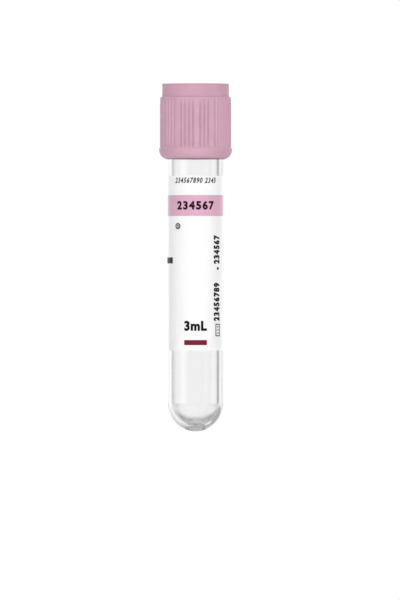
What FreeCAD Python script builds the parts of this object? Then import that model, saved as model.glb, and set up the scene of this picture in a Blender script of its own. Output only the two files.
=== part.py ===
"""Evacuated blood collection tube with its push-on closure, standing on the flat top of its cap.

A moulded clear tube carries a paper label, and a ribbed cap with a rubber stopper inside closes it.
Every piece is drawn as the tube is held, with the tube's base at z = 0, its axis on Z and the middle
of the label towards -Y. A round end can't stand and a capped tube rolls on its side, so one common
placement then turns all pieces over: cap down on the table, round end up, label still towards -Y.
"""
import FreeCAD, Part
import Sketcher
import math
import os

# Driving sizes, in millimetres and degrees: (alias, value, what it is)
SIZES = [
    ("tube_radius", 6.5, "outside radius of the tube"),
    ("tube_length", 75.0, "base of the round end to the rim"),
    ("tube_wall", 0.85, "side wall of the tube"),
    ("base_thickness", 1.1, "wall at the middle of the round end"),
    ("rim_round", 0.25, "rounding of the rim's two edges"),
    ("boss_radius", 1.85, "foot of the moulded boss inside the round end"),
    ("boss_top_radius", 1.25, "top of that boss"),
    ("boss_height", 1.65, "height of that boss above the inner base"),
    ("cap_rise", 7.2, "top of the cap above the tube's rim"),
    ("cap_overlap", 10.7, "bottom of the cap below the tube's rim"),
    ("cap_clearance", 0.15, "radial room between the cap's bore and the tube"),
    ("collar_radius", 7.93, "plain collar at the top of the cap"),
    ("collar_height", 3.0, "height of that collar"),
    ("rib_radius", 8.39, "outside of the ribbed grip"),
    ("skirt_radius", 8.62, "widest ring of the cap, below the ribs"),
    ("skirt_height", 2.7, "bottom of the cap to the foot of the ribs"),
    ("skirt_round", 2.2, "rounding of the cap's lower edge"),
    ("lip_round", 0.15, "rounding of the collar's two top edges"),
    ("groove_radius", 0.25, "radius of the round groove between two ribs"),
    ("groove_depth", 0.22, "depth of that groove below the rib tops"),
    ("groove_pitch", 7.0, "angle between neighbouring grooves of a group"),
    ("groove_start", 8.0, "angle of the first groove from the front"),
    ("cup_radius", 6.4, "recess in the top of the collar"),
    ("cup_depth", 2.2, "depth of that recess"),
    ("web_thickness", 1.3, "ring of the cap that holds the stopper down"),
    ("web_hole_radius", 4.5, "hole in that ring"),
    ("seat_undercut", 0.45, "how far the stopper's seat widens the cap's bore"),
    ("seat_room", 0.1, "room for the stopper's flange in its seat, on every side"),
    ("plug_clearance", 0.04, "radial room between the stopper's plug and the tube's bore"),
    ("plug_length", 9.4, "plug below the rim"),
    ("plug_taper", 0.7, "lead-in at the plug's lower edge"),
    ("neck_clearance", 0.15, "radial room between the stopper's neck and the web's hole"),
    ("well_radius", 3.0, "needle well in the stopper's neck"),
    ("well_depth", 2.6, "depth of that well"),
    ("hollow_radius", 2.9, "hollow in the underside of the plug"),
    ("hollow_depth", 5.6, "depth of that hollow"),
    ("rubber_round", 0.35, "rounding of the stopper's edges"),
    ("glue", 0.02, "layer between the label and the tube"),
    ("label_base", 19.1, "lower edge of the label"),
    ("label_height", 41.3, "height of the label"),
    ("label_thickness", 0.12, "paper of the label"),
    ("label_wrap", 316.0, "angle that the label covers"),
    ("ink", 0.04, "thickness of a printed field"),
    ("band_drop", 4.6, "label's upper edge down to the colour band"),
    ("band_height", 4.9, "height of the colour band"),
    ("block_rise", 20.6, "label's lower edge up to the block of short bars"),
    ("block_height", 1.4, "height of those bars"),
    ("block_bar", 0.62, "width of one of those bars"),
    ("block_angle", -57.0, "angle of the bar nearest the front"),
    ("block_pitch", -7.6, "angle from one bar to the next"),
    ("ring_drop", 2.4, "colour band down to the middle of the printed ring"),
    ("ring_angle", -39.0, "angle of the printed ring"),
    ("ring_radius", 0.72, "outside of the printed ring"),
    ("ring_line", 0.26, "width of the printed ring's line"),
    ("frame_rise", 3.4, "label's lower edge up to the printed frame"),
    ("frame_height", 2.9, "height of the printed frame"),
    ("frame_width", 1.6, "width of the printed frame"),
    ("frame_line", 0.2, "width of the printed frame's line"),
    ("frame_angle", 52.0, "angle of the printed frame and of the dot above it"),
    ("dot_rise", 19.1, "label's lower edge up to the printed dot"),
    ("dot_size", 0.6, "side of the printed dot"),
    ("bar_rise", 1.3, "label's lower edge up to the coloured bar"),
    ("bar_height", 1.2, "height of the coloured bar"),
    ("bar_width", 5.4, "width of the coloured bar"),
]

GROOVE_GROUPS = (3, 4)  # grooves between one broad rib and the next, in turn round the cap
GROOVE_GAPS = sum(GROOVE_GROUPS) - len(GROOVE_GROUPS)
GROUP_REPEATS = 6  # times that these groups go round the cap
BLOCK_BARS = 5

# Places that follow from the driving sizes: (alias, formula, what it is)
PLACES = [
    ("bore_radius", "tube_radius - tube_wall", "tube's bore"),
    ("bore_turn", "base_thickness + bore_radius", "where the bore meets its round end"),
    ("boss_root", "base_thickness / 2", "boss's foot, inside the wall"),
    ("boss_top", "base_thickness + boss_height", "boss's top"),
    ("cap_bottom", "tube_length - cap_overlap", "lower end of the cap"),
    ("cap_crown", "tube_length + cap_rise", "upper end of the cap"),
    ("cap_bore_radius", "tube_radius + cap_clearance", "cap's bore, round the tube"),
    ("skirt_turn", "cap_bottom + skirt_round", "where the lower edge's rounding ends"),
    ("skirt_turn_radius", "skirt_radius - skirt_round", "middle of that rounding"),
    ("rib_foot", "cap_bottom + skirt_height", "lower end of the ribs"),
    ("collar_foot", "cap_crown - collar_height", "lower end of the collar"),
    ("rib_head", "collar_foot - rib_radius + collar_radius", "where the shoulder begins"),
    ("groove_reach", "collar_foot - rib_foot", "length of a groove"),
    ("groove_middle", "rib_radius - groove_depth + groove_radius", "axis of a groove"),
    ("groove_front", "groove_start - 90", "heading of the first groove"),
    (
        "groove_land",
        f"( 360 / {GROUP_REPEATS} - {GROOVE_GAPS} * groove_pitch ) / {len(GROOVE_GROUPS)}",
        "angle across each broad rib",
    ),
    ("cup_floor", "cap_crown - cup_depth", "floor of the collar's recess"),
    ("web_under", "cup_floor - web_thickness", "underside of the web"),
    ("seat_radius", "cap_bore_radius + seat_undercut", "stopper's seat in the cap"),
    ("seat_floor", "tube_length - seat_room", "lower end of that seat"),
    ("flange_radius", "seat_radius - seat_room", "stopper's flange"),
    ("flange_top", "web_under - seat_room", "upper side of the flange"),
    ("neck_radius", "web_hole_radius - neck_clearance", "stopper's neck, in the web's hole"),
    ("plug_radius", "bore_radius - plug_clearance", "stopper's plug, in the tube's bore"),
    ("plug_tip", "tube_length - plug_length", "lower end of the plug"),
    ("plug_tip_radius", "plug_radius - plug_taper", "plug's lower edge"),
    ("plug_shoulder", "plug_tip + 2 * plug_taper", "upper end of the lead-in"),
    ("well_floor", "cup_floor - well_depth", "floor of the needle well"),
    ("hollow_roof", "plug_tip + hollow_depth", "roof of the plug's hollow"),
    ("label_inner", "tube_radius + glue", "label's inner side"),
    ("label_outer", "label_inner + label_thickness", "label's outer side"),
    ("label_top", "label_base + label_height", "label's upper edge"),
    ("ink_outer", "label_outer + ink", "outside of the print"),
    ("band_top", "label_top - band_drop", "colour band's upper edge"),
    ("band_base", "band_top - band_height", "colour band's lower edge"),
    ("block_base", "label_base + block_rise", "lower edge of the block of short bars"),
    ("ring_centre", "band_base - ring_drop", "height of the printed ring's middle"),
    ("frame_base", "label_base + frame_rise", "lower edge of the printed frame"),
    ("dot_base", "label_base + dot_rise", "lower edge of the printed dot"),
    ("bar_base", "label_base + bar_rise", "lower edge of the coloured bar"),
    ("stamp_reach", "ink_outer + 1", "length of a stamp, from the axis through the print"),
    ("ring_hole", "ring_radius - ring_line", "inside of the printed ring"),
    ("frame_gap_width", "frame_width - 2 * frame_line", "inside of the printed frame"),
    ("frame_gap_height", "frame_height - 2 * frame_line", "inside of the printed frame"),
    ("frame_gap_base", "frame_base + frame_line", "inside of the printed frame"),
]

# A sketch's own geometry, as the solver numbers it
ORIGIN = (-1, 1)
AXIS_WITHOUT = {"DistanceX": -2, "DistanceY": -1}  # the axis on which a point without that distance lies
START, END, CENTRE = range(1, 4)  # the points of a line or an arc
SAME = 1e-4  # millimetres within which two measures are the same
SKETCH = "Sketcher::SketchObject"
UPRIGHT = FreeCAD.Vector(0, 0, 1)
SHEET_OF = {alias: "sizes" for alias, _, _ in SIZES} | {alias: "places" for alias, _, _ in PLACES}

document = FreeCAD.newDocument("blood_collection_tube")


def linked(formula):
    """The formula with each size and place led by the sheet that holds it."""
    words = formula.replace("(", "( ").split()
    return " ".join(f"{SHEET_OF[word]}.{word}" if word in SHEET_OF else word for word in words)


def make_sheet(name, rows):
    """A spreadsheet with a note, a cell and an alias for each row."""
    sheet = document.addObject("Spreadsheet::Sheet", name)
    for row, (alias, content, note) in enumerate(rows, start=1):
        sheet.set(f"A{row}", note)
        sheet.set(f"B{row}", content)
        sheet.setAlias(f"B{row}", alias)
    document.recompute()
    return sheet


sizes = make_sheet("sizes", [(alias, str(value), note) for alias, value, note in SIZES])
places = make_sheet("places", [(alias, "=" + linked(formula), note) for alias, formula, note in PLACES])


def now(name):
    """The present number in a named cell, for a sketch's first guess."""
    cell = (sizes if SHEET_OF[name] == "sizes" else places).get(name)
    return float(getattr(cell, "Value", cell))


# --- Helpers --------------------------------------------------------------------------------------


def make_body(label):
    """An empty body, named as the piece."""
    body = document.addObject("PartDesign::Body", label)
    body.Label = label
    return body


def make_sketch(body, name, plane, height=None, facing_front=False):
    """A sketch on one of the body's own planes, at a named height or turned to face the front."""
    sketch = body.newObject(SKETCH, name)
    planes = {feature.Role: feature for feature in body.Origin.OriginFeatures}
    sketch.AttachmentSupport = [(planes[plane], "")]
    sketch.MapMode = "FlatFace"
    if height:
        sketch.setExpression("AttachmentOffset.Base.z", linked(height))
    if facing_front:
        half_turn = FreeCAD.Rotation(FreeCAD.Vector(0, 1, 0), 180)
        sketch.AttachmentOffset = FreeCAD.Placement(FreeCAD.Vector(), half_turn)
    document.recompute()
    return sketch


def hold(sketch, kind, name, *geometry):
    """Adds a dimension to a sketch and ties it to a named cell; no name puts the point on an axis."""
    if name:
        value = math.radians(now(name)) if kind == "Angle" else now(name)
        index = sketch.addConstraint(Sketcher.Constraint(kind, *geometry, value))
        sketch.setExpression(f"Constraints[{index}]", linked(name))
    else:
        sketch.addConstraint(Sketcher.Constraint("PointOnObject", *geometry[-2:], AXIS_WITHOUT[kind]))


def place(across, up):
    """The point that two named cells give; None is an axis."""
    return FreeCAD.Vector(now(across) if across else 0, now(up) if up else 0)


def draw_outline(sketch, corners):
    """A closed outline, drawn anticlockwise through named corners (across, up).

    A third item in a corner names the middle of an arc that runs from it to the next corner.
    """
    for edge, (across, up, *middle) in enumerate(corners):
        following = (edge + 1) % len(corners)
        start, end = place(across, up), place(*corners[following][:2])
        if middle:
            centre = place(*middle[0])
            circle = Part.Circle(centre, UPRIGHT, (start - centre).Length)
            curve = Part.ArcOfCircle(circle, circle.parameter(start), circle.parameter(end))
        else:
            curve = Part.LineSegment(start, end)
        sketch.addGeometry(curve, False)
    for edge, (across, up, *middle) in enumerate(corners):
        following = (edge + 1) % len(corners)
        sketch.addConstraint(Sketcher.Constraint("Coincident", edge, END, following, START))
        hold(sketch, "DistanceX", across, *ORIGIN, edge, START)
        hold(sketch, "DistanceY", up, *ORIGIN, edge, START)
        if middle:
            hold(sketch, "DistanceX", middle[0][0], *ORIGIN, edge, CENTRE)


def revolve(body, name, corners, kind="Revolution", facing_front=False):
    """A full turn of an outline about the body's upright axis, added or (as a Groove) taken away."""
    plane = "YZ_Plane" if facing_front else "XZ_Plane"
    sketch = make_sketch(body, f"{name}_outline", plane, facing_front=facing_front)
    draw_outline(sketch, corners)
    feature = body.newObject(f"PartDesign::{kind}", name)
    feature.Profile = sketch
    feature.ReferenceAxis = (sketch, ["V_Axis"])
    feature.Angle = 360
    document.recompute()
    return feature


def bore(body, name, radius, start, end):
    """A round pocket about the upright axis, from one named height up to another."""
    sketch = make_sketch(body, f"{name}_circle", "XY_Plane", height=start)
    sketch.addGeometry(Part.Circle(FreeCAD.Vector(), UPRIGHT, now(radius)), False)
    sketch.addConstraint(Sketcher.Constraint("Coincident", 0, CENTRE, *ORIGIN))
    hold(sketch, "Radius", radius, 0)
    pocket = body.newObject("PartDesign::Pocket", name)
    pocket.Profile = sketch
    pocket.Reversed = True
    pocket.setExpression("Length", linked(f"{end} - {start}"))
    document.recompute()
    return pocket


def round_rims(body, name, radius, rims):
    """Fillets the circular edges at the named (radius, height) pairs."""
    base = body.Tip
    wanted = [(now(rim_radius), now(height)) for rim_radius, height in rims]
    edges = []
    for number, edge in enumerate(base.Shape.Edges, start=1):
        if edge.Degenerated or not isinstance(edge.Curve, Part.Circle):
            continue
        found = (edge.Curve.Radius, edge.Curve.Center.z)
        if any(max(abs(a - b) for a, b in zip(found, rim)) < SAME for rim in wanted):
            edges.append(f"Edge{number}")
    if len(edges) != len(rims):
        raise RuntimeError(f"{name}: {len(edges)} edges found for {len(rims)} rims")
    fillet = body.newObject("PartDesign::Fillet", name)
    fillet.Base = (base, edges)
    fillet.setExpression("Radius", linked(radius))
    document.recompute()
    return fillet


def turn_over(piece):
    """Ties a finished piece's placement to the capped tube's stand on the top of its cap."""
    base = linked("vector( 0 ; 0 ; cap_crown )")
    turn = "rotation( vector( 0 ; 1 ; 0 ) ; 180 )"
    piece.setExpression("Placement", f"placement( {base} ; {turn} )")


# --- Tube -----------------------------------------------------------------------------------------


def make_tube():
    """The moulded tube: round-ended outside, round-ended bore, a boss at the gate, a soft rim."""
    body = make_body("tube")
    revolve(
        body,
        "outside",
        [
            (None, None, (None, "tube_radius")),
            ("tube_radius", "tube_radius"),
            ("tube_radius", "tube_length"),
            (None, "tube_length"),
        ],
    )
    revolve(
        body,
        "inside",
        [
            (None, "base_thickness", (None, "bore_turn")),
            ("bore_radius", "bore_turn"),
            ("bore_radius", "tube_length"),
            (None, "tube_length"),
        ],
        kind="Groove",
    )
    revolve(
        body,
        "gate_boss",
        [
            (None, "boss_root"),
            ("boss_radius", "boss_root"),
            ("boss_top_radius", "boss_top"),
            (None, "boss_top"),
        ],
    )
    round_rims(body, "rim", "rim_round", [("tube_radius", "tube_length"), ("bore_radius", "tube_length")])
    return body


# --- Closure --------------------------------------------------------------------------------------


def make_cap():
    """The moulded cap: collar, ribbed grip and rounded skirt outside; seat, web and cup inside."""
    body = make_body("cap")
    revolve(
        body,
        "form",
        [
            (None, "cap_bottom"),
            ("skirt_turn_radius", "cap_bottom", ("skirt_turn_radius", "skirt_turn")),
            ("skirt_radius", "skirt_turn"),
            ("skirt_radius", "rib_foot"),
            ("rib_radius", "rib_foot"),
            ("rib_radius", "rib_head", ("collar_radius", "rib_head")),
            ("collar_radius", "collar_foot"),
            ("collar_radius", "cap_crown"),
            (None, "cap_crown"),
        ],
    )
    bore(body, "tube_bore", "cap_bore_radius", "cap_bottom", "web_under")
    bore(body, "stopper_seat", "seat_radius", "seat_floor", "web_under")
    bore(body, "web_hole", "web_hole_radius", "web_under", "cap_crown")
    bore(body, "cup", "cup_radius", "cup_floor", "cap_crown")
    round_rims(body, "lip", "lip_round", [("collar_radius", "cap_crown"), ("cup_radius", "cap_crown")])
    cut_grooves(body)
    return body


def cut_grooves(body):
    """Round grooves along the grip: one set drawn, each on its own spoke, then turned round."""
    turns = ["groove_front"]
    for count in GROOVE_GROUPS:
        turns += ["groove_pitch"] * (count - 1) + ["groove_land"]
    sketch = make_sketch(body, "groove_set", "XY_Plane", height="rib_foot")
    heading = 0
    for number, turn in enumerate(turns[:-1]):
        heading += math.radians(now(turn))
        middle = FreeCAD.Vector(math.cos(heading), math.sin(heading)) * now("groove_middle")
        spoke = sketch.addGeometry(Part.LineSegment(FreeCAD.Vector(), middle), True)
        groove = sketch.addGeometry(Part.Circle(middle, UPRIGHT, now("groove_radius")), False)
        sketch.addConstraint(Sketcher.Constraint("Coincident", spoke, START, *ORIGIN))
        sketch.addConstraint(Sketcher.Constraint("Coincident", groove, CENTRE, spoke, END))
        hold(sketch, "Distance", "groove_middle", spoke)
        hold(sketch, "Radius", "groove_radius", groove)
        if number:
            hold(sketch, "Angle", turn, spoke - 2, START, spoke, START)
        else:
            hold(sketch, "Angle", turn, spoke)
    pocket = body.newObject("PartDesign::Pocket", "grooves")
    pocket.Profile = sketch
    pocket.Reversed = True
    pocket.setExpression("Length", linked("groove_reach"))
    document.recompute()
    ring = body.newObject("PartDesign::PolarPattern", "groove_ring")
    ring.Originals = [pocket]
    ring.Axis = (sketch, ["N_Axis"])
    ring.Angle = 360
    ring.Occurrences = GROUP_REPEATS
    body.Tip = ring
    document.recompute()


def make_stopper():
    """The rubber stopper: flange in the cap's seat, neck with the needle well, hollow plug."""
    body = make_body("stopper")
    revolve(
        body,
        "section",
        [
            (None, "hollow_roof"),
            ("hollow_radius", "hollow_roof"),
            ("hollow_radius", "plug_tip"),
            ("plug_tip_radius", "plug_tip"),
            ("plug_radius", "plug_shoulder"),
            ("plug_radius", "tube_length"),
            ("flange_radius", "tube_length"),
            ("flange_radius", "flange_top"),
            ("neck_radius", "flange_top"),
            ("neck_radius", "cup_floor"),
            ("well_radius", "cup_floor"),
            ("well_radius", "well_floor"),
            (None, "well_floor"),
        ],
    )
    rims = [
        ("flange_radius", "tube_length"),
        ("flange_radius", "flange_top"),
        ("neck_radius", "cup_floor"),
        ("well_radius", "cup_floor"),
        ("well_radius", "well_floor"),
        ("hollow_radius", "plug_tip"),
        ("hollow_radius", "hollow_roof"),
    ]
    round_rims(body, "soft_edges", "rubber_round", rims)
    return body


# --- Label and print ------------------------------------------------------------------------------


def make_wrap(name, inner, outer, bottom, top):
    """A thin wrap about the axis, open at the back by what the label leaves bare."""
    body = make_body(name)
    corners = [(inner, bottom), (outer, bottom), (outer, top), (inner, top)]
    wrap = revolve(body, f"{name}_turn", corners, facing_front=True)
    wrap.Midplane = True
    wrap.setExpression("Angle", linked("label_wrap"))
    document.recompute()
    return body


def make_cylinder(name, radius, start, end):
    """An upright cylinder about the axis."""
    cylinder = document.addObject("Part::Cylinder", name)
    cylinder.setExpression("Radius", linked(radius))
    cylinder.setExpression("Height", linked(f"{end} - {start}"))
    cylinder.setExpression("Placement.Base.z", linked(start))
    return cylinder


def make_cut(name, base, tool):
    """One solid less another."""
    cut = document.addObject("Part::Cut", name)
    cut.Base = base
    cut.Tool = tool
    return cut


def make_ink_shell(name):
    """The layer in which all print lies, just outside the label."""
    outer = make_cylinder(f"{name}_outer", "ink_outer", "label_base", "label_top")
    inner = make_cylinder(f"{name}_inner", "label_outer", "label_base", "label_top")
    return make_cut(name, outer, inner)


def make_block_stamp(name, width, height, bottom, angle):
    """A block from the axis out through the print, turned to an angle from the front."""
    stamp = document.addObject("Part::Box", name)
    stamp.setExpression("Length", linked(width))
    stamp.setExpression("Width", linked("stamp_reach"))
    stamp.setExpression("Height", linked(height))
    turned = f"placement( vector( 0 ; 0 ; 0 ) ; rotation( vector( 0 ; 0 ; 1 ) ; {angle} ) )"
    moved = f"placement( vector( 0 - {width} / 2 ; 0 - stamp_reach ; {bottom} ) ; rotation( 0 ; 0 ; 0 ) )"
    stamp.setExpression("Placement", linked(f"{turned} * {moved}"))
    return stamp


def make_round_stamp(name, radius, centre, angle):
    """A round bar from the axis out through the print, turned to an angle from the front."""
    stamp = document.addObject("Part::Cylinder", name)
    stamp.setExpression("Radius", linked(radius))
    stamp.setExpression("Height", linked("stamp_reach"))
    turned = f"placement( vector( 0 ; 0 ; {centre} ) ; rotation( vector( 0 ; 0 ; 1 ) ; {angle} ) )"
    tipped = "placement( vector( 0 ; 0 ; 0 ) ; rotation( vector( 1 ; 0 ; 0 ) ; 90 ) )"
    stamp.setExpression("Placement", linked(f"{turned} * {tipped}"))
    return stamp


def print_stamps(name, stamps):
    """The part of some stamps that lies in the ink: one printed piece, as separate fields."""
    stamp_group = document.addObject("Part::Compound", f"{name}_stamps")
    stamp_group.Links = stamps
    fields = document.addObject("Part::Common", name)
    fields.Label = name
    fields.Base = make_ink_shell(f"{name}_ink")
    fields.Tool = stamp_group
    document.recompute()
    return fields


def make_marks():
    """The dark print: a block of short bars, a ring, a small frame and a dot."""
    stamps = [
        make_block_stamp(
            f"block_bar_{number}",
            "block_bar",
            "block_height",
            "block_base",
            f"( block_angle + {number} * block_pitch )",
        )
        for number in range(BLOCK_BARS)
    ]
    ring_outside = make_round_stamp("ring_outside", "ring_radius", "ring_centre", "ring_angle")
    ring_inside = make_round_stamp("ring_inside", "ring_hole", "ring_centre", "ring_angle")
    frame_outside = make_block_stamp(
        "frame_outside", "frame_width", "frame_height", "frame_base", "frame_angle"
    )
    frame_inside = make_block_stamp(
        "frame_inside", "frame_gap_width", "frame_gap_height", "frame_gap_base", "frame_angle"
    )
    stamps += [
        make_cut("ring", ring_outside, ring_inside),
        make_cut("frame", frame_outside, frame_inside),
        make_block_stamp("dot", "dot_size", "dot_size", "dot_base", "frame_angle"),
    ]
    return print_stamps("label_marks", stamps)


def make_bar():
    """The coloured bar low on the label's front."""
    return print_stamps("label_bar", [make_block_stamp("bar", "bar_width", "bar_height", "bar_base", "0")])


# --- Assembly -------------------------------------------------------------------------------------

pieces = [
    make_tube(),
    make_cap(),
    make_stopper(),
    make_wrap("label", "label_inner", "label_outer", "label_base", "label_top"),
    make_wrap("label_band", "label_outer", "ink_outer", "band_base", "band_top"),
    make_marks(),
    make_bar(),
]
for piece in pieces:
    turn_over(piece)
document.recompute()

failed = [item.Name for item in document.Objects if {"Invalid", "Error"} & set(item.State)]
if failed:
    raise RuntimeError("not rebuilt: " + ", ".join(failed))
loose = [item.Name for item in document.Objects if item.TypeId == SKETCH and not item.FullyConstrained]
if loose:
    raise RuntimeError("sketches that can move: " + ", ".join(loose))
for piece in pieces:
    if piece.Shape.isNull() or not piece.Shape.isValid() or piece.Shape.Volume <= 0:
        raise RuntimeError(f"{piece.Label} has no sound shape")

os.makedirs("parts", exist_ok=True)
for piece in pieces:
    piece.Shape.exportStep(f"parts/{piece.Label}.step")
    print(f"{piece.Label}: {len(piece.Shape.Solids)} solid(s), {piece.Shape.Volume:.2f} mm3")
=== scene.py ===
"""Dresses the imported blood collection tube: clear moulded tube, ribbed cap, rubber stopper, printed label.

Every piece is drawn in millimetres as the tube is held: base of the round end at height 0, axis on Z,
middle of the label towards -Y. STAND then turns the finished mesh over, onto the flat top of the cap,
and brings it to metres. Angles on the label are in degrees from its middle, towards +X as it is held.
"""
import math

import bmesh
import bpy
from mathutils import Matrix, Vector


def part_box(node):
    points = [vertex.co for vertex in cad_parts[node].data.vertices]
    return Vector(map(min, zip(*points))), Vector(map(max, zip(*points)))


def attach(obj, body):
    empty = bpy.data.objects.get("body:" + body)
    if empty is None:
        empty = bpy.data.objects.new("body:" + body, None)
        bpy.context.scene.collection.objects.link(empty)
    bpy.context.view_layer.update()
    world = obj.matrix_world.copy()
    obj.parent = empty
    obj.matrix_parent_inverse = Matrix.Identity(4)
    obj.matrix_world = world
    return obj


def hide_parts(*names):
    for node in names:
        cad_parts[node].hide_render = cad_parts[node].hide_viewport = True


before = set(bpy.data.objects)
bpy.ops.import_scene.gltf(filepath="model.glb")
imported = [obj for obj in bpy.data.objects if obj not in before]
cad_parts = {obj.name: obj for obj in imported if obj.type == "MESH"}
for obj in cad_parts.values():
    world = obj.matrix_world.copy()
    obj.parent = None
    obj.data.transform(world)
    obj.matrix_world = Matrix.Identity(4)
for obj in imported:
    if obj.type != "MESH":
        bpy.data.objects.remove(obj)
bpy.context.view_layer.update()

# --- Sizes, in millimetres and degrees ------------------------------------------------------------

MM = 0.001
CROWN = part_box("tube")[1].z / MM  # whole length: the round end is the highest point of the stand


def ends(node):
    """Lower and upper end of a CAD node, as the tube is held."""
    low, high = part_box(node)
    return CROWN - high.z / MM, CROWN - low.z / MM


def outside(node):
    """Outer radius of a CAD node."""
    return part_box(node)[1].x / MM


TUBE_RADIUS = outside("tube")
RIM = ends("tube")[1]
BORE_RADIUS = 5.65
BASE_WALL = 1.1
RIM_ROUND = 0.25
BOSS_FOOT_RADIUS, BOSS_TOP_RADIUS, BOSS_RISE = 1.9, 1.3, 1.65
BOSS_FOOT_ROUND, BOSS_TOP_ROUND = 0.2, 0.12
BOSS_MARGIN = 4.0  # degrees of the bore's round end beside the boss that the rounding of its foot takes
TUBE_COLUMNS, END_STEPS, BORE_END_STEPS = 256, 64, 56

SKIRT_RADIUS = outside("cap")
CAP_FOOT = ends("cap")[0]
SKIRT_ROUND = 2.2
GRIP_FOOT, GRIP_HEAD, GRIP_RADIUS = CAP_FOOT + 2.7, CROWN - 3.46, 8.39
LEDGE_BELOW, LEDGE_ABOVE = 0.2, 0.1  # the ledge over the skirt slopes from below to above the grip's foot
COLLAR_FOOT, COLLAR_RADIUS = CROWN - 3.0, 7.93
SHOULDER_DROP, SHOULDER_ROUND = 0.15, 0.7 * (GRIP_RADIUS - COLLAR_RADIUS)
CAP_BORE, SEAT_RADIUS, SEAT_FLOOR = 6.65, 7.1, RIM - 0.1
WEB_UNDER, WEB_TOP, WEB_HOLE = CROWN - 3.5, CROWN - 2.2, 4.5
CUP_RADIUS = 6.4
CAP_COLUMNS = 720
FOOT_RINGS = (0.2, 0.35, 0.5, 0.65, 3.0)  # rings of points above the grip's foot, where the grooves begin
HEAD_RINGS = (2.4, 1.8, 1.2, 0.6)  # rings of points below the grip's head, where the grooves run out
OUTSIDE_FROM = COLLAR_RADIUS - 0.3  # beyond this radius lies the cap's outside, within it the inside

PLUG_TIP, STOPPER_TOP = ends("stopper")
FLANGE_RADIUS, FLANGE_TOP = 7.0, WEB_UNDER - 0.1
NECK_RADIUS, WELL_RADIUS, WELL_FLOOR = 4.35, 3.0, STOPPER_TOP - 2.6
PLUG_RADIUS, PLUG_TIP_RADIUS, PLUG_SHOULDER = 5.61, 4.91, PLUG_TIP + 1.4
HOLLOW_RADIUS, HOLLOW_ROOF = 2.9, PLUG_TIP + 5.6
STOPPER_COLUMNS = 160

LABEL_RADIUS = outside("label")
LABEL_FOOT, LABEL_HEAD = ends("label")
LABEL_WRAP = 316.0
LABEL_CORNER = 1.2
LABEL_BITE = 0.005  # how far the label goes into the tube's wall, so that no gap shows
STRIP, FIGURE_STRIP = 0.12, 0.15  # widths of the strips that bend round the tube
SHARP_FROM = 40  # degrees between faces from which an edge of the label or of its print is sharp
BAND_FOOT, BAND_HEAD = ends("label_band")
BAR_CORNER = 0.12
SOLID_INK, INK = 0.04, 0.012  # thickness of the print in the solids, and as it is drawn here
PRINT_CORNER = 0.02
CODE_ANGLE, CODE_WIDTH = -66, 2.5  # the grey ground under the short bars of the code
CODE_FOOT, CODE_HEAD = LABEL_FOOT + 20.6, LABEL_FOOT + 22.0

STAND = (
    Matrix.Translation((0, 0, CROWN * MM))
    @ Matrix.Rotation(math.pi, 4, "Y")
    @ Matrix.Scale(MM, 4)
)


# --- Turned shapes --------------------------------------------------------------------------------

ROUNDING_STEPS = 6
LEAD_SHARE, LONGEST_LEAD = 0.4, 0.1  # short flats beside a rounding keep the long flats' shading even
ON_AXIS = 1e-6  # a point nearer to the axis than this is a pole


def rounded(corners, closed=False):
    """An outline through corners (radius, height, rounding), each rounding drawn as a fine arc."""
    outline = []
    for number, (across, up, rounding) in enumerate(corners):
        here = Vector((across, up))
        if not rounding:
            outline.append(here)
            continue
        following = corners[(number + 1) % len(corners)] if closed else corners[number + 1]
        before = (Vector(corners[number - 1][:2]) - here).normalized()
        after = (Vector(following[:2]) - here).normalized()
        half = before.angle(after) / 2
        inset = rounding / math.tan(half)
        centre = here + (before + after).normalized() * rounding / math.sin(half)
        start, end = here + before * inset, here + after * inset
        sweep = (start - centre).angle_signed(end - centre)
        lead = min(rounding * LEAD_SHARE, LONGEST_LEAD)
        outline.append(start + before * lead)
        for step in range(ROUNDING_STEPS + 1):
            spoke = Matrix.Rotation(-sweep * step / ROUNDING_STEPS, 2) @ (start - centre)
            outline.append(centre + spoke)
        outline.append(end + after * lead)
    return outline


def arc(centre_height, radius, start, end, steps):
    """Points on an arc about a middle on the axis, angles in degrees up from straight down."""
    angles = (math.radians(start + (end - start) * step / steps) for step in range(steps + 1))
    return [
        Vector((radius * math.sin(angle), centre_height - radius * math.cos(angle)))
        for angle in angles
    ]


def turned(name, outline, columns, closed=False):
    """A mesh made by turning an outline about the axis; points on the axis become single poles."""
    shape = bmesh.new()
    rings = []
    for across, up in outline:
        if across < ON_AXIS:
            rings.append([shape.verts.new((0, 0, up))] * columns)
            continue
        ring = []
        for column in range(columns):
            angle = math.tau * column / columns
            ring.append(shape.verts.new((across * math.sin(angle), -across * math.cos(angle), up)))
        rings.append(ring)
    pairs = list(zip(rings, rings[1:]))
    if closed:
        pairs.append((rings[-1], rings[0]))
    for lower, upper in pairs:
        for column in range(columns):
            beside = (column + 1) % columns
            corners = (lower[column], lower[beside], upper[beside], upper[column])
            shape.faces.new(dict.fromkeys(corners))
    bmesh.ops.recalc_face_normals(shape, faces=shape.faces)
    return finished_mesh(name, shape)


def finished_mesh(name, shape):
    """Turns an edited shape into a smooth-shaded mesh."""
    mesh = bpy.data.meshes.new(name)
    shape.to_mesh(mesh)
    shape.free()
    mesh.shade_smooth()
    return mesh


def place(mesh, body, material, replaces=()):
    """Stands a finished mesh on the cap as a piece that rides on a body and replaces CAD nodes."""
    mesh.transform(STAND)
    mesh.materials.clear()
    mesh.materials.append(material)
    piece = bpy.data.objects.new(mesh.name, mesh)
    bpy.context.scene.collection.objects.link(piece)
    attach(piece, body)
    if replaces:
        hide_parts(*replaces)


# --- Nodes ----------------------------------------------------------------------------------------


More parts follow.
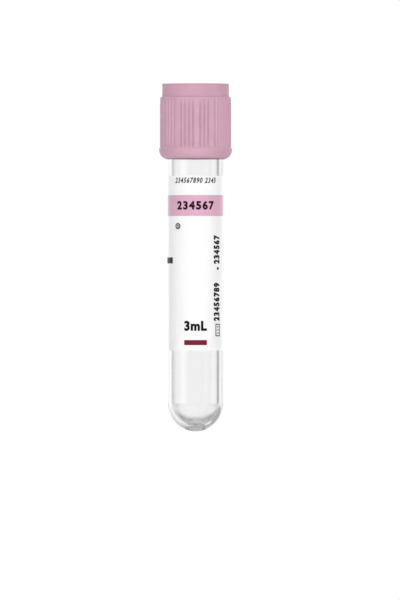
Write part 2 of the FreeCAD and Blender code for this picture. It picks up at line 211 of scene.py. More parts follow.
class Graph:
    """Adds nodes to a tree and feeds them, for shaders and for Geometry Nodes alike."""

    def __init__(self, tree):
        self.tree = tree

    def add(self, kind, feeds=None, **settings):
        """A new node with its settings made and its inputs fed, by name or by number."""
        node = self.tree.nodes.new(kind)
        for setting, value in settings.items():
            setattr(node, setting, value)
        for key, value in (feeds or {}).items():
            self.feed(node, key, value)
        return node

    def feed(self, node, key, value):
        """Sets an input, or joins it to a socket or to the first output of a node."""
        if isinstance(key, int):
            socket = node.inputs[key]
        else:
            socket = next(one for one in node.inputs if one.enabled and one.name == key)
        if isinstance(value, bpy.types.Node):
            value = next(one for one in value.outputs if one.enabled)
        if isinstance(value, bpy.types.NodeSocket):
            self.tree.links.new(value, socket)
        else:
            socket.default_value = value

    def math(self, operation, *values):
        """A Math node on one, two or three values."""
        return self.add("ShaderNodeMath", dict(enumerate(values)), operation=operation)

    def smooth_step(self, value, start, end, low=0.0, high=1.0):
        """A value eased from low at start to high at end."""
        feeds = {"Value": value, "From Min": start, "From Max": end, "To Min": low, "To Max": high}
        return self.add("ShaderNodeMapRange", feeds, interpolation_type="SMOOTHSTEP")

    def mix_colours(self, factor, one, other):
        """A colour between two others."""
        return self.add("ShaderNodeMix", {"Factor": factor, "A": one, "B": other}, data_type="RGBA")


def new_group(name, kind, inputs, outputs):
    """A node group with named inputs (name, socket type, value) and outputs (name, socket type)."""
    tree = bpy.data.node_groups.new(name, kind)
    for label, socket_type, value in inputs:
        socket = tree.interface.new_socket(label, in_out="INPUT", socket_type=socket_type)
        if value is not None:
            socket.default_value = value
    for label, socket_type in outputs:
        tree.interface.new_socket(label, in_out="OUTPUT", socket_type=socket_type)
    graph = Graph(tree)
    return graph, graph.add("NodeGroupInput").outputs, graph.add("NodeGroupOutput")


def made_by_nodes(mesh, tree, sizes):
    """Runs a mesh through a Geometry Nodes tree with some of its named sizes set."""
    name = mesh.name
    holder = bpy.data.objects.new(name, mesh)
    bpy.context.scene.collection.objects.link(holder)
    modifier = holder.modifiers.new(tree.name, "NODES")
    modifier.node_group = tree
    identifiers = {socket.name: socket.identifier for socket in tree.interface.items_tree}
    for label, value in sizes.items():
        modifier[identifiers[label]] = value
    bpy.context.view_layer.update()
    evaluated = holder.evaluated_get(bpy.context.evaluated_depsgraph_get())
    made = bpy.data.meshes.new_from_object(evaluated)
    bpy.data.objects.remove(holder)
    bpy.data.meshes.remove(mesh)
    made.name = name
    return made


# --- Surface effects shared by several finishes ---------------------------------------------------

FLOAT, COLOUR = "NodeSocketFloat", "NodeSocketColor"
MATT_BOSS, MATT_FADE = 0.8, 0.2  # roughness of the gate's boss; millimetres beside it to fade out in


def make_moulded_skin():
    """The skin of a moulded piece: a clouded colour, a wandering gloss and a fine grain."""
    graph, given, result = new_group(
        "moulded_skin",
        "ShaderNodeTree",
        [
            ("Colour", COLOUR, (0.8, 0.8, 0.8, 1)),
            ("Clouding", FLOAT, 0.05),
            ("Cloud Scale", FLOAT, 300.0),
            ("Gloss Low", FLOAT, 0.35),
            ("Gloss High", FLOAT, 0.45),
            ("Grain Scale", FLOAT, 6000.0),
        ],
        [("Colour", COLOUR), ("Roughness", FLOAT), ("Height", FLOAT)],
    )
    where = graph.add("ShaderNodeTexCoord").outputs["Object"]
    cloud = graph.add("ShaderNodeTexNoise", {"Vector": where, "Scale": given["Cloud Scale"], "Detail": 3.0})
    dark = graph.math("SUBTRACT", 1.0, given["Clouding"])
    light = graph.math("ADD", 1.0, given["Clouding"])
    shade = graph.smooth_step(cloud, 0.3, 0.7, dark, light)
    colour = graph.add("ShaderNodeVectorMath", {0: given["Colour"], 1: shade}, operation="MULTIPLY")
    gloss = graph.smooth_step(cloud, 0.35, 0.65, given["Gloss Low"], given["Gloss High"])
    grain = graph.add("ShaderNodeTexNoise", {"Vector": where, "Scale": given["Grain Scale"], "Detail": 2.0})
    graph.feed(result, "Colour", colour)
    graph.feed(result, "Roughness", gloss)
    graph.feed(result, "Height", grain)
    return graph.tree


def make_ink_film():
    """Printed ink: solid colour broken by pinholes and by uneven inking."""
    graph, given, result = new_group(
        "ink_film",
        "ShaderNodeTree",
        [
            ("Ink", COLOUR, (0.1, 0.1, 0.1, 1)),
            ("Paper", COLOUR, (0.9, 0.9, 0.9, 1)),
            ("Pinholes", FLOAT, 0.1),
            ("Unevenness", FLOAT, 0.05),
        ],
        [("Colour", COLOUR), ("Roughness", FLOAT), ("Height", FLOAT)],
    )
    where = graph.add("ShaderNodeTexCoord").outputs["Object"]
    fine = graph.add("ShaderNodeTexNoise", {"Vector": where, "Scale": 9000.0, "Detail": 2.0})
    broad = graph.add("ShaderNodeTexNoise", {"Vector": where, "Scale": 700.0, "Detail": 2.0})
    holes = graph.math("MULTIPLY", graph.smooth_step(fine, 0.6, 0.75), given["Pinholes"])
    thin = graph.math("MULTIPLY", broad, given["Unevenness"])
    colour = graph.mix_colours(graph.math("ADD", holes, thin), given["Ink"], given["Paper"])
    graph.feed(result, "Colour", colour)
    graph.feed(result, "Roughness", graph.smooth_step(fine, 0.3, 0.7, 0.38, 0.5))
    graph.feed(result, "Height", fine)
    return graph.tree


MOULDED_SKIN = make_moulded_skin()
INK_FILM = make_ink_film()


def new_finish(name, **shader_values):
    """A material with its Principled BSDF, some of whose own sockets are set."""
    material = bpy.data.materials.new(name)
    material.use_nodes = True
    graph = Graph(material.node_tree)
    shader = material.node_tree.nodes["Principled BSDF"]
    for label, value in shader_values.items():
        shader.inputs[label.replace("_", " ")].default_value = value
    return material, graph, shader


def use_skin(graph, shader, tree, relief, relief_depth, **values):
    """Feeds a shader's colour, roughness and relief from one of the shared surface effects."""
    skin = graph.add("ShaderNodeGroup", node_tree=tree)
    for label, value in values.items():
        graph.feed(skin, label.replace("_", " "), value)
    graph.feed(shader, "Base Color", skin.outputs["Colour"])
    graph.feed(shader, "Roughness", skin.outputs["Roughness"])
    feeds = {"Height": skin.outputs["Height"], "Strength": relief, "Distance": relief_depth}
    graph.feed(shader, "Normal", graph.add("ShaderNodeBump", feeds))


def clear_plastic():
    """Clear, glossy, water-white plastic with a moulded wall's unevenness; the gate's boss is left matt."""
    material, graph, shader = new_finish(
        "clear_plastic", Metallic=0.0, IOR=1.57, Transmission_Weight=1.0
    )
    where = graph.add("ShaderNodeTexCoord").outputs["Object"]
    waves = graph.add("ShaderNodeTexNoise", {"Vector": where, "Scale": 160.0, "Detail": 1.0})
    specks = graph.add("ShaderNodeTexNoise", {"Vector": where, "Scale": 2500.0, "Detail": 3.0})
    tint = graph.mix_colours(waves, (0.985, 0.985, 0.99, 1), (0.996, 0.996, 1.0, 1))
    graph.feed(shader, "Base Color", tint)
    parts = graph.add("ShaderNodeSeparateXYZ", {0: where}).outputs
    spread = graph.add("ShaderNodeCombineXYZ", {"X": parts["X"], "Y": parts["Y"]})
    out = graph.add("ShaderNodeVectorMath", {0: spread}, operation="LENGTH").outputs["Value"]
    boss_edge = BOSS_FOOT_RADIUS + 0.1
    near_axis = graph.smooth_step(out, boss_edge * MM, (boss_edge + MATT_FADE) * MM, 1.0, 0.0)
    bore_floor = CROWN - BASE_WALL
    inside = graph.smooth_step(parts["Z"], (bore_floor + MATT_FADE) * MM, bore_floor * MM)
    matt = graph.math("MULTIPLY", graph.math("MULTIPLY", near_axis, inside), MATT_BOSS)
    rough_specks = graph.smooth_step(specks, 0.62, 0.8, 0.0, 0.05)
    graph.feed(shader, "Roughness", graph.math("ADD", matt, rough_specks))
    feeds = {"Height": waves, "Strength": 0.04, "Distance": 0.0002}
    graph.feed(shader, "Normal", graph.add("ShaderNodeBump", feeds))
    return material


def cap_plastic():
    """Satin dusty pink moulded plastic."""
    material, graph, shader = new_finish("cap_plastic", Metallic=0.0, IOR=1.42)
    use_skin(
        graph, shader, MOULDED_SKIN, 0.12, 0.00003,
        Colour=(0.48, 0.284, 0.363, 1), Clouding=0.03, Cloud_Scale=260.0,
        Gloss_Low=0.38, Gloss_High=0.46, Grain_Scale=9000.0,
    )
    return material


def stopper_rubber():
    """Matt mauve rubber with a fine pitted grain."""
    material, graph, shader = new_finish("stopper_rubber", Metallic=0.0, IOR=1.52)
    use_skin(
        graph, shader, MOULDED_SKIN, 0.35, 0.00004,
        Colour=(0.36, 0.20, 0.27, 1), Clouding=0.08, Cloud_Scale=420.0,
        Gloss_Low=0.62, Gloss_High=0.78, Grain_Scale=7000.0,
    )
    return material


def label_paper():
    """Smooth white label stock with faint fibres, thin enough for light to come through."""
    material, graph, shader = new_finish(
        "label_paper", Metallic=0.0, IOR=1.48,
        Subsurface_Weight=0.7, Subsurface_Scale=0.0004, Subsurface_Radius=(1.0, 1.0, 1.0),
        Sheen_Weight=1.0, Sheen_Roughness=0.35,
    )
    use_skin(
        graph, shader, MOULDED_SKIN, 0.10, 0.00002,
        Colour=(0.80, 0.80, 0.80, 1), Clouding=0.008, Cloud_Scale=900.0,
        Gloss_Low=0.40, Gloss_High=0.50, Grain_Scale=5000.0,
    )
    return material


def ink(name, colour, pinholes, unevenness, sheen):
    """Ink printed on the label's paper."""
    material, graph, shader = new_finish(
        name, Metallic=0.0, IOR=1.25, Sheen_Weight=sheen, Sheen_Roughness=0.35
    )
    use_skin(
        graph, shader, INK_FILM, 0.08, 0.00001,
        Ink=(*colour, 1), Pinholes=pinholes, Unevenness=unevenness,
    )
    return material


CLEAR_PLASTIC = clear_plastic()
CAP_PLASTIC = cap_plastic()
STOPPER_RUBBER = stopper_rubber()
LABEL_STOCK = label_paper()
BAND_INK = ink("band_ink", (0.53, 0.28, 0.40), 0.15, 0.12, 0.8)
DARK_INK = ink("dark_ink", (0.002, 0.002, 0.002), 0.02, 0.004, 0.2)
PLUM_INK = ink("plum_ink", (0.010, 0.001, 0.006), 0.02, 0.004, 0.2)
RED_INK = ink("red_ink", (0.150, 0.001, 0.025), 0.01, 0.02, 0.1)
GREY_INK = ink("grey_ink", (0.10, 0.10, 0.105), 0.10, 0.03, 0.8)


# --- Tube, cap and stopper ------------------------------------------------------------------------


def make_tube():
    """The clear tube: straight wall, soft rim, thick round end with the gate's boss inside."""
    bore_turn = BASE_WALL + BORE_RADIUS
    boss_angle = math.degrees(math.asin(BOSS_FOOT_RADIUS / BORE_RADIUS))
    boss_foot = bore_turn - math.sqrt(BORE_RADIUS**2 - BOSS_FOOT_RADIUS**2)
    outline = arc(TUBE_RADIUS, TUBE_RADIUS, 0, 90, END_STEPS)
    rim = [
        (TUBE_RADIUS, TUBE_RADIUS, 0),
        (TUBE_RADIUS, RIM, RIM_ROUND),
        (BORE_RADIUS, RIM, RIM_ROUND),
        (BORE_RADIUS, bore_turn, 0),
    ]
    outline += rounded(rim)[1:]
    outline += arc(bore_turn, BORE_RADIUS, 90, boss_angle + BOSS_MARGIN, BORE_END_STEPS)[1:]
    boss = [
        (*outline[-1], 0),
        (BOSS_FOOT_RADIUS, boss_foot, BOSS_FOOT_ROUND),
        (BOSS_TOP_RADIUS, BASE_WALL + BOSS_RISE, BOSS_TOP_ROUND),
        (0, BASE_WALL + BOSS_RISE, 0),
    ]
    outline += rounded(boss)[1:]
    mesh = turned("clear_tube", outline, TUBE_COLUMNS)
    place(mesh, "tube", CLEAR_PLASTIC, ["tube"])


def make_grip_tree():
    """Geometry Nodes that press the grip's grooves into a turned cap: groups of 3 and of 4 in turn."""
    graph, given, result = new_group(
        "pressed_grip",
        "GeometryNodeTree",
        [
            ("Cap", "NodeSocketGeometry", None),
            ("Plastic", "NodeSocketMaterial", None),
            ("Grip Foot", FLOAT, 67.0),
            ("Grip Head", FLOAT, 79.2),
            ("Grip Radius", FLOAT, 8.39),
            ("Outside From", FLOAT, 7.63),
            ("Groove Depth", FLOAT, 0.42),
            ("Groove Reach", FLOAT, 0.50),
            ("Groove Pitch", FLOAT, 7.0),
            ("Foot Fade", FLOAT, 0.5),
            ("Head Fade", FLOAT, 2.6),
            ("Group Angle", FLOAT, 60.0),
            ("First Three", FLOAT, 8.0),
            ("First Four", FLOAT, 34.5),
        ],
        [("Cap", "NodeSocketGeometry")],
    )
    place_now = graph.add("GeometryNodeInputPosition").outputs[0]
    parts = graph.add("ShaderNodeSeparateXYZ", {0: place_now}).outputs
    x, y, z = parts["X"], parts["Y"], parts["Z"]
    squares = graph.math("ADD", graph.math("MULTIPLY", x, x), graph.math("MULTIPLY", y, y))
    radius = graph.math("SQRT", squares)
    turn = graph.math("ARCTAN2", x, graph.math("MULTIPLY", y, -1.0))
    angle = graph.math("WRAP", graph.math("DEGREES", turn), given["Group Angle"], 0.0)
    gaps = []
    for first, last_number in (("First Three", 2.0), ("First Four", 3.0)):
        steps = graph.math("DIVIDE", graph.math("SUBTRACT", angle, given[first]), given["Groove Pitch"])
        number = graph.math("MAXIMUM", graph.math("MINIMUM", graph.math("ROUND", steps), last_number), 0.0)
        middle = graph.math("MULTIPLY_ADD", number, given["Groove Pitch"], given[first])
        gaps.append(graph.math("ABSOLUTE", graph.math("SUBTRACT", angle, middle)))
    gap = graph.math("MINIMUM", *gaps)
    gap_along = graph.math("MULTIPLY", graph.math("RADIANS", gap), given["Grip Radius"])
    off_middle = graph.math("DIVIDE", gap_along, given["Groove Reach"])
    near = graph.math("MAXIMUM", graph.math("SUBTRACT", 1.0, off_middle), 0.0)
    foot_fade_end = graph.math("ADD", given["Grip Foot"], given["Foot Fade"])
    begun = graph.smooth_step(z, given["Grip Foot"], foot_fade_end)
    head_fade_start = graph.math("SUBTRACT", given["Grip Head"], given["Head Fade"])
    depth = graph.smooth_step(z, head_fade_start, given["Grip Head"], given["Groove Depth"], 0.0)
    depth = graph.math("MULTIPLY", depth, begun)
    narrowing = graph.math("POWER", near, 2.0)
    pressed = graph.math("MULTIPLY", narrowing, depth)
    new_radius = graph.math("SUBTRACT", radius, pressed)
    above = graph.add("FunctionNodeCompare", {"A": z, "B": given["Grip Foot"]}, operation="GREATER_THAN")
    below = graph.add("FunctionNodeCompare", {"A": z, "B": given["Grip Head"]}, operation="LESS_THAN")
    limits = {"A": radius, "B": given["Outside From"]}
    outer = graph.add("FunctionNodeCompare", limits, operation="GREATER_THAN")
    between = graph.add("FunctionNodeBooleanMath", {0: above, 1: below}, operation="AND")
    grip = graph.add("FunctionNodeBooleanMath", {0: between, 1: outer}, operation="AND")
    never_zero = graph.math("MAXIMUM", radius, 0.001)
    scale = graph.math("DIVIDE", new_radius, never_zero)
    new_place = graph.add(
        "ShaderNodeCombineXYZ",
        {"X": graph.math("MULTIPLY", x, scale), "Y": graph.math("MULTIPLY", y, scale), "Z": z},
    )
    moved = graph.add(
        "GeometryNodeSetPosition", {"Geometry": given["Cap"], "Selection": grip, "Position": new_place}
    )
    real = graph.add("GeometryNodeRealizeInstances", {"Geometry": moved})
    dressed = graph.add("GeometryNodeSetMaterial", {"Geometry": real, "Material": given["Plastic"]})
    graph.feed(result, "Cap", dressed)
    return graph.tree


def make_cap():
    """The cap: rounded skirt, ribbed grip, shoulder and collar outside; cup, web, seat and bore inside."""
    foot_rings = [(GRIP_RADIUS, GRIP_FOOT + rise, 0) for rise in FOOT_RINGS]
    head_rings = [(GRIP_RADIUS, GRIP_HEAD - drop, 0) for drop in HEAD_RINGS]
    outside_corners = [
        (CAP_BORE, CAP_FOOT, 0.2),
        (SKIRT_RADIUS, CAP_FOOT, SKIRT_ROUND),
        (SKIRT_RADIUS, GRIP_FOOT - LEDGE_BELOW, 0.1),
        (GRIP_RADIUS, GRIP_FOOT + LEDGE_ABOVE, 0.05),
        *foot_rings,
        *head_rings,
        (GRIP_RADIUS, COLLAR_FOOT - SHOULDER_DROP, SHOULDER_ROUND),
        (COLLAR_RADIUS, COLLAR_FOOT, 0.1),
        (COLLAR_RADIUS, CROWN, 0.15),
    ]
    inside_corners = [
        (CUP_RADIUS, CROWN, 0.15),
        (CUP_RADIUS, WEB_TOP, 0.2),
        (WEB_HOLE, WEB_TOP, 0.12),
        (WEB_HOLE, WEB_UNDER, 0.12),
        (SEAT_RADIUS, WEB_UNDER, 0.15),
        (SEAT_RADIUS, SEAT_FLOOR, 0.1),
        (CAP_BORE, SEAT_FLOOR, 0.1),
    ]
    outline = rounded(outside_corners + inside_corners, closed=True)
    blank = turned("ribbed_cap", outline, CAP_COLUMNS, closed=True)
    sizes = {
        "Plastic": CAP_PLASTIC,
        "Grip Foot": GRIP_FOOT,
        "Grip Head": COLLAR_FOOT,
        "Grip Radius": GRIP_RADIUS,
        "Outside From": OUTSIDE_FROM,
    }
    mesh = made_by_nodes(blank, make_grip_tree(), sizes)
    place(mesh, "closure", CAP_PLASTIC, ["cap"])


def make_stopper():
    """The rubber stopper: flange, neck with the needle well, tapered hollow plug."""
    corners = [
        (0, HOLLOW_ROOF, 0),
        (HOLLOW_RADIUS, HOLLOW_ROOF, 0.35),
        (HOLLOW_RADIUS, PLUG_TIP, 0.35),
        (PLUG_TIP_RADIUS, PLUG_TIP, 0.3),
        (PLUG_RADIUS, PLUG_SHOULDER, 0.5),
        (PLUG_RADIUS, RIM, 0.15),
        (FLANGE_RADIUS, RIM, 0.35),
        (FLANGE_RADIUS, FLANGE_TOP, 0.35),
        (NECK_RADIUS, FLANGE_TOP, 0.1),
        (NECK_RADIUS, STOPPER_TOP, 0.35),
        (WELL_RADIUS, STOPPER_TOP, 0.35),
        (WELL_RADIUS, WELL_FLOOR, 0.35),
        (0, WELL_FLOOR, 0),
    ]
    mesh = turned("rubber_stopper", rounded(corners), STOPPER_COLUMNS)
    place(mesh, "closure", STOPPER_RUBBER, ["stopper"])


# --- Label and print ------------------------------------------------------------------------------


def wrapped(name, shape, strip=STRIP):
    """Bends a flat solid (across, up, depth) round the label, cut first into strips that can bend."""
    cuts = int(max(abs(vertex.co.x) for vertex in shape.verts) / strip)
    for cut in range(-cuts, cuts + 1):
        everything = shape.verts[:] + shape.edges[:] + shape.faces[:]
        bmesh.ops.bisect_plane(
            shape, geom=everything, plane_co=(cut * strip, 0, 0), plane_no=(1, 0, 0), dist=1e-5
        )
    for vertex in shape.verts:
        angle = vertex.co.x / LABEL_RADIUS
        reach = LABEL_RADIUS + vertex.co.z
        vertex.co = (reach * math.sin(angle), -reach * math.cos(angle), vertex.co.y)
    bmesh.ops.recalc_face_normals(shape, faces=shape.faces)
    mesh = finished_mesh(name, shape)
    mesh.set_sharp_from_angle(angle=math.radians(SHARP_FROM))
    return mesh


def flat_shape(points, depth):
    """A flat solid from an outline of points (across, up), from depth 0 outwards."""
    shape = bmesh.new()
    lower = [shape.verts.new((across, up, 0)) for across, up in points]
    upper = [shape.verts.new((across, up, depth)) for across, up in points]
    shape.faces.new(list(reversed(lower)))
    shape.faces.new(upper)
    for number in range(len(points)):
        beside = (number + 1) % len(points)
        shape.faces.new((lower[number], lower[beside], upper[beside], upper[number]))
    return shape


def rectangle(width, foot, head, corner, middle=0.0):
    """Points of an upright rectangle with rounded corners."""
    half = width / 2
    corners = [
        (middle + half, foot, corner),
        (middle + half, head, corner),
        (middle - half, head, corner),
        (middle - half, foot, corner),
    ]
    return [tuple(point) for point in rounded(corners, closed=True)]


def flat_text(words, height, weight=0.0, slant=0.0, spacing=1.0):
    """Flat solid figures of a given height, their middle at (0, 0)."""
    half_depth = 0.5
    curve = bpy.data.curves.new("figures", "FONT")
    curve.body = words
    curve.offset = weight
    curve.shear = slant
    curve.space_character = spacing
    curve.resolution_u = 4
    curve.extrude = half_depth
    holder = bpy.data.objects.new("figures", curve)
    mesh = bpy.data.meshes.new_from_object(holder)
    bpy.data.objects.remove(holder)
    bpy.data.curves.remove(curve)
    shape = bmesh.new()
    shape.from_mesh(mesh)
    bpy.data.meshes.remove(mesh)
    bmesh.ops.remove_doubles(shape, verts=shape.verts, dist=1e-4)
    lows = [min(vertex.co[axis] for vertex in shape.verts) for axis in (0, 1)]
    highs = [max(vertex.co[axis] for vertex in shape.verts) for axis in (0, 1)]
    size = height / (highs[1] - lows[1])
    for vertex in shape.verts:
        vertex.co.x = (vertex.co.x - (lows[0] + highs[0]) / 2) * size
        vertex.co.y = (vertex.co.y - (lows[1] + highs[1]) / 2) * size
        vertex.co.z = (vertex.co.z + half_depth) * INK
    return shape


def figures(
    name, words, height, angle, middle, width=None, turn=0.0, over=0.0, material=DARK_INK, **style
):
    """Figures on the label, or over print of some thickness, with their middle at an angle and height."""
    shape = flat_text(words, height, **style)
    if width:
        present = 2 * max(vertex.co.x for vertex in shape.verts)
        for vertex in shape.verts:
            vertex.co.x *= width / present
    bmesh.ops.rotate(shape, verts=shape.verts, matrix=Matrix.Rotation(math.radians(turn), 3, "Z"))
    bmesh.ops.translate(
        shape, verts=shape.verts, vec=(math.radians(angle) * LABEL_RADIUS, middle, over)
    )
    place(wrapped(name, shape, FIGURE_STRIP), "tube", material)


def make_label():
    """The paper label, its corners rounded, round the tube but for a gap at the back."""
    width = math.radians(LABEL_WRAP) * LABEL_RADIUS
    thickness = LABEL_RADIUS - TUBE_RADIUS + LABEL_BITE
    shape = flat_shape(rectangle(width, LABEL_FOOT, LABEL_HEAD, LABEL_CORNER), thickness)
    for vertex in shape.verts:
        vertex.co.z -= thickness
    mesh = wrapped("paper_label", shape)
    place(mesh, "tube", LABEL_STOCK, ["label"])


def make_band():
    """The pink band round the label."""
    width = math.radians(LABEL_WRAP) * LABEL_RADIUS
    shape = flat_shape(rectangle(width, BAND_FOOT, BAND_HEAD, PRINT_CORNER), INK)
    place(wrapped("colour_band", shape), "tube", BAND_INK, ["label_band"])


def make_bar():
    """The dark red bar low on the label."""
    foot, head = ends("label_bar")
    width = 2 * math.asin(outside("label_bar") / (LABEL_RADIUS + SOLID_INK)) * LABEL_RADIUS
    shape = flat_shape(rectangle(width, foot, head, BAR_CORNER), INK)
    place(wrapped("red_bar", shape), "tube", RED_INK, ["label_bar"])


def make_code_ground():
    """Grey print between the short bars of the code."""
    across = math.radians(CODE_ANGLE) * LABEL_RADIUS
    shape = flat_shape(rectangle(CODE_WIDTH, CODE_FOOT, CODE_HEAD, PRINT_CORNER, across), INK)
    place(wrapped("code_ground", shape), "tube", GREY_INK)


def print_figures():
    """Every figure on the label: name, figures, their height, angle and height of their middle, width."""
    figures("ring_figure", "2", 0.66, -39, BAND_FOOT - 2.4, weight=0.07)
    figures("frame_figures", "234", 0.75, 52, LABEL_FOOT + 4.85, 2.0, turn=90, spacing=1.2)
    figures(
        "head_figures", "234567890 2345", 1.35, 0, LABEL_HEAD - 1.1, 10.7,
        weight=0.03, slant=0.3, spacing=1.25,
    )
    figures(
        "band_figures", "234567", 2.15, 0, BAND_FOOT + 2.5, 9.4,
        over=INK, material=PLUM_INK, weight=0.05, spacing=1.22,
    )
    figures("volume_figures", "3mL", 2.4, 0, LABEL_FOOT + 5.85, 5.5, weight=0.05, spacing=1.1)
    column = {"turn": 90, "weight": 0.06, "spacing": 1.25}
    figures("lower_column", "23456789", 2.2, 49, LABEL_FOOT + 11.5, 9.0, **column)
    figures("upper_column", "234567", 2.2, 49, LABEL_FOOT + 23.9, 6.8, **column)


def ink_marks():
    """Dark ink on the ring, the small frame, the dot and the short bars, which show as the solids are."""
    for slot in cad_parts["label_marks"].material_slots:
        slot.material = DARK_INK


# --- Studio ---------------------------------------------------------------------------------------

# How bright the surroundings are all round: heading in degrees from straight behind, towards +X, and level
EYE_LEVEL = [
    (-180, 0.42), (-142, 0.42), (-137, 0.50), (-100, 0.50), (-92, 0.15), (-55, 0.15),
    (-46, 1.00), (-28, 1.05), (-25, 0.47), (-15, 0.46), (-12.5, 1.12), (-7.5, 1.12),
    (-5, 0.98), (1.5, 0.98), (3.5, 1.08), (11.5, 1.09), (14, 0.88), (31, 0.91), (34, 1.12), (46, 1.12),
    (50, 0.12), (92, 0.12), (110, 0.12), (118, 0.60), (137, 0.65), (142, 0.42), (180, 0.42),
]
LOW_SKY = [
    (-180, 0.42), (-142, 0.42), (-120, 0.50), (-92, 0.15), (-55, 0.30), (-48, 0.60),
    (-44, 1.20), (-36, 1.20), (-33, 0.60), (-27, 0.60), (-25, 1.15), (-21, 1.15),
    (-19, 0.60), (-17, 0.75), (-13, 0.85), (-10, 0.95), (6, 0.95), (8, 0.82), (16, 0.85),
    (20, 1.10), (33, 1.20), (46, 1.05), (54, 0.12), (110, 0.12), (180, 0.42),
]
OVERHEAD = [
    (-180, 0.45), (-145, 0.45), (-125, 0.20), (-75, 0.20), (-52, 0.45), (-28, 0.42),
    (-12, 0.38), (-7, 0.32), (10, 0.32), (15, 0.70), (25, 0.78), (33, 1.00), (46, 1.00),
    (65, 0.20), (125, 0.20), (145, 0.45), (180, 0.45),
]
WHITE = (1.0, 1.0, 1.0, 1)
# Where each of these, and white above them, takes over from the one below: upward part of the direction
LOW_SKY_RISE, OVERHEAD_RISE, ZENITH_RISE = (0.0, 0.09), (0.12, 0.22), (0.74, 0.86)
QUARTER = 0.25  # turns
SIDES = (0.14, 0.17)  # turns from straight behind beyond which the clear wall shows that quarter's screens
SMALL_LIGHT = (-0.353, 0.692, 0.629)  # way to the small light high behind
SMALL_LIGHT_EDGE = (0.990, 0.997)  # its soft edge, as cosines of the angle off that way
TUBE_MIDDLE = (0, 0, 0.04)  # metres
FLOOR_RADIUS = 0.4  # metres
FLOOR_GLOW = (0.42, 0.80)  # the floor's own light, on the pieces and straight to the camera
FLOOR_PAINTED_SCREENS = 0.85  # share of the surroundings' brightness painted on the floor as grey screens, seen only through the clear wall


def heading_of(graph, where):
    """The way round the upright axis to a place, in turns from straight behind."""
    parts = graph.add("ShaderNodeSeparateXYZ", {0: where}).outputs
    return graph.math("DIVIDE", graph.math("ARCTAN2", parts["X"], parts["Y"]), math.tau)


def quarter_heading(graph, aside):
    """The heading folded into the quarter behind, so that every side has screens like those there."""
    folded = graph.math("PINGPONG", graph.math("ADD", aside, QUARTER / 2), QUARTER)
    return graph.math("SUBTRACT", folded, QUARTER / 2)


def brightness_round(graph, aside, stops):
    """Brightness that follows a list of (heading, level)."""
    ramp = graph.add("ShaderNodeValToRGB", {"Fac": graph.math("ADD", aside, 0.5)})
    elements = ramp.color_ramp.elements
    for number, (heading, level) in enumerate(stops):
        stop = elements[number] if number < 2 else elements.new(1.0)
        stop.position = heading / 360 + 0.5
        stop.color = (level, level, level, 1)
    return ramp


def screens_round(graph, aside, height):
    """Brightness of the surroundings at a heading (in turns) and a height."""
    level = brightness_round(graph, aside, EYE_LEVEL)
    for levels, rise in ((LOW_SKY, LOW_SKY_RISE), (OVERHEAD, OVERHEAD_RISE)):
        higher = graph.smooth_step(height, *rise)
        level = graph.mix_colours(higher, level, brightness_round(graph, aside, levels))
    return graph.mix_colours(graph.smooth_step(height, *ZENITH_RISE), level, WHITE)


def make_floor():
    """A plain pale floor that glows a little, as a light table does; through the clear wall it shows painted
    grey screens.
    """
    shape = bmesh.new()
    bmesh.ops.create_circle(shape, cap_ends=True, segments=96, radius=FLOOR_RADIUS)
    floor = bpy.data.objects.new("floor", finished_mesh("floor", shape))
    material, graph, shader = new_finish("pale_floor", Metallic=0.0)
    where = graph.add("ShaderNodeTexCoord").outputs["Object"]
    mottle = graph.add("ShaderNodeTexNoise", {"Vector": where, "Scale": 6.0, "Detail": 2.0})
    colour = graph.mix_colours(mottle, (0.60, 0.60, 0.60, 1), (0.64, 0.64, 0.64, 1))
    graph.feed(shader, "Roughness", graph.smooth_step(mottle, 0.3, 0.7, 0.7, 0.8))
    graph.feed(shader, "Emission Color", WHITE)
    rays = graph.add("ShaderNodeLightPath").outputs
    through_wall = rays["Is Transmission Ray"]
    # Seen through the clear wall, the floor is nearly black and shows painted grey screens copied from the
    # surroundings: painted shade in place of its own lit colour
    nearly_black = (0.05, 0.05, 0.05, 1)
    graph.feed(shader, "Base Color", graph.mix_colours(through_wall, colour, nearly_black))
    aside = quarter_heading(graph, heading_of(graph, where))
    screens = graph.math("MULTIPLY", brightness_round(graph, aside, EYE_LEVEL), FLOOR_PAINTED_SCREENS)
    glow = graph.smooth_step(rays["Is Camera Ray"], 0.0, 1.0, *FLOOR_GLOW)
    graph.feed(shader, "Emission Strength", graph.mix_colours(through_wall, glow, screens))
    floor.data.materials.append(material)
    bpy.context.scene.collection.objects.link(floor)


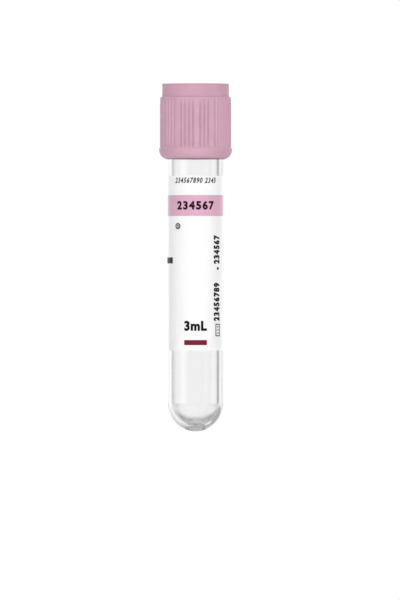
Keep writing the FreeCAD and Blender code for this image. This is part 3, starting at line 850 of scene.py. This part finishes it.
def make_world():
    """White surroundings, dimmer overhead, with grey screens whose edges draw the clear wall."""
    world = bpy.data.worlds.new("studio")
    bpy.context.scene.world = world
    world.use_nodes = True
    graph = Graph(world.node_tree)
    background = world.node_tree.nodes["Background"]
    heading = graph.add("ShaderNodeTexCoord").outputs["Generated"]
    height = graph.add("ShaderNodeSeparateXYZ", {0: heading}).outputs["Z"]
    aside = heading_of(graph, heading)
    rays = graph.add("ShaderNodeLightPath").outputs
    # Straight through the wall, the sides show the same screens as the quarter behind
    at_side = graph.smooth_step(graph.math("ABSOLUTE", aside), *SIDES)
    unmirrored = graph.math("LESS_THAN", rays["Glossy Depth"], 0.5)
    straight = graph.math("MULTIPLY", unmirrored, rays["Is Transmission Ray"])
    all_round = screens_round(graph, aside, height)
    repeated = screens_round(graph, quarter_heading(graph, aside), height)
    level = graph.mix_colours(graph.math("MULTIPLY", at_side, straight), all_round, repeated)
    towards = graph.add("ShaderNodeVectorMath", {0: heading, 1: SMALL_LIGHT}, operation="DOT_PRODUCT")
    in_light = graph.smooth_step(towards.outputs["Value"], *SMALL_LIGHT_EDGE)
    level = graph.mix_colours(in_light, level, WHITE)
    graph.feed(background, "Color", graph.mix_colours(rays["Is Camera Ray"], level, WHITE))


def add_light(name, place_at, target, size, power):
    """A soft lamp that faces a point; it lights the pieces but isn't seen in gloss or clear walls."""
    lamp = bpy.data.lights.new(name, "AREA")
    lamp.shape = "RECTANGLE"
    lamp.size, lamp.size_y = size
    lamp.energy = power
    light = bpy.data.objects.new(name, lamp)
    light.location = place_at
    light.rotation_euler = (Vector(target) - Vector(place_at)).to_track_quat("-Z", "Y").to_euler()
    light.visible_glossy = False
    light.visible_transmission = False
    bpy.context.scene.collection.objects.link(light)


def make_camera():
    """A long lens level with the tube, turned over because the tube stands on its cap."""
    distance, view_height = 4.0, 0.1418
    aside, above_middle = -0.00104, 0.01005
    lens = bpy.data.cameras.new("camera")
    lens.sensor_width = 36.0
    lens.lens = lens.sensor_width * distance / view_height
    lens.clip_end = 20.0
    camera = bpy.data.objects.new("camera", lens)
    camera.location = (aside, -distance, CROWN / 2 * MM + above_middle)
    camera.rotation_euler = (math.radians(90), math.radians(180), 0)
    bpy.context.scene.collection.objects.link(camera)
    bpy.context.scene.camera = camera


def set_up_picture():
    """Plain colours, and light followed through every mirroring in the clear wall, so that none goes dark."""
    bpy.context.scene.view_settings.view_transform = "Standard"
    paths = bpy.context.scene.cycles
    paths.max_bounces = 32
    paths.glossy_bounces = 32
    paths.transmission_bounces = 32


make_tube()
make_cap()
make_stopper()
make_label()
make_band()
make_bar()
make_code_ground()
print_figures()
ink_marks()

make_floor()
make_world()
add_light("front_light", (0, -1.0, 0.30), TUBE_MIDDLE, (0.35, 0.5), 7.8)
add_light("rim_light", (-0.71, 0.84, 0.25), TUBE_MIDDLE, (0.3, 0.5), 5)
add_light("overhead_light", (0, 0.1, 1.4), (0, 0, 0), (1.6, 1.6), 3)
add_light("back_light", (0.1, 1.0, 0.55), TUBE_MIDDLE, (0.6, 0.6), 4)
make_camera()
set_up_picture()
